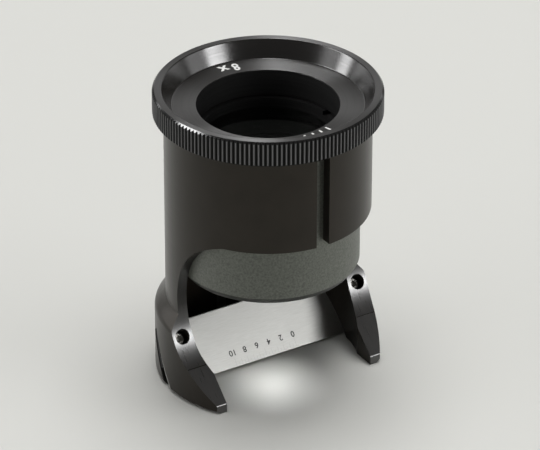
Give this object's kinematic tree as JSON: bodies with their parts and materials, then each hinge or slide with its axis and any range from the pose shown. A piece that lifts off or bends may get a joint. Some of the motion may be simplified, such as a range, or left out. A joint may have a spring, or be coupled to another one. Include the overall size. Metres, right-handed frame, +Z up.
{
  "type": "scale loupe",
  "caption": "Stand loupe with a split sleeve, a knurled eyepiece ring, a sliding lens barrel, an arched front opening and a leaning steel scale plate.",
  "frame": {"origin": "on the optical axis, at the height of the table that the skirt stands on", "axes": "+Z up along the optical axis, -Y towards the open front, X along the scale plate"},
  "size_m": [0.032, 0.032, 0.0441],
  "materials": {
    "black_anodised": "satin black anodised, turned",
    "frosted_anodised": "bead-blasted grey anodised",
    "scale_steel": "satin stainless steel",
    "black_steel": "blackened steel",
    "optical_glass": "polished, coated"
  },
  "bodies": {
    "stand": {"stand_body": "black_anodised", "scale_plate": "scale_steel", "clamp_strips": "black_steel", "plate_screws": "black_steel"},
    "barrel": {"focus_barrel": "frosted_anodised", "field_lens": "optical_glass", "lens_spacer": "black_anodised", "eye_lens": "optical_glass", "lens_retaining_ring": "black_anodised"},
    "eyepiece": {"eyepiece_ring": "black_anodised"}
  },
  "joints": [
    {"name": "focus_slide", "type": "slide", "parent": "stand", "child": "barrel", "axis": [0, 0, 1], "range_m": [0, 0.006]},
    {"name": "ring_turn", "type": "hinge", "parent": "barrel", "child": "eyepiece", "pos_m": [0, 0, 0.042], "axis": [0, 0, 1], "continuous": true}
  ]
}
